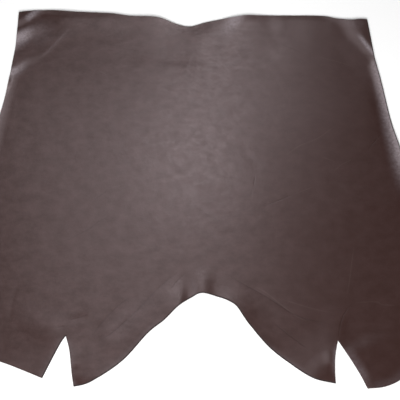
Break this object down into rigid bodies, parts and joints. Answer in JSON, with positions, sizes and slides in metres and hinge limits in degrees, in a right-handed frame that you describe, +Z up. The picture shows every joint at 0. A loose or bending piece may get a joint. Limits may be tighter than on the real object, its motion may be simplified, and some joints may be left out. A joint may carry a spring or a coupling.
{
  "type": "leather butt",
  "caption": "Dark brown leather butt lying grain side up: a broad trimmed back of hide with a wavy neck cut, bowed flanks, slit rump and an arched tail bay, for cutting straps and harness.",
  "frame": {"origin": "under the middle of the sheet's outline box, on the surface that it lies on", "axes": "+X across the hide to its right flank, +Y along the backbone to the neck cut, +Z up with the grain side up"},
  "size_m": [1.4003, 1.3139, 0.0115],
  "materials": {
    "leather": "dark brown drum-dyed smooth grain with a satin wax finish, fibrous flesh side"
  },
  "bodies": {
    "root": {"leather_butt": "leather"}
  },
  "joints": []
}
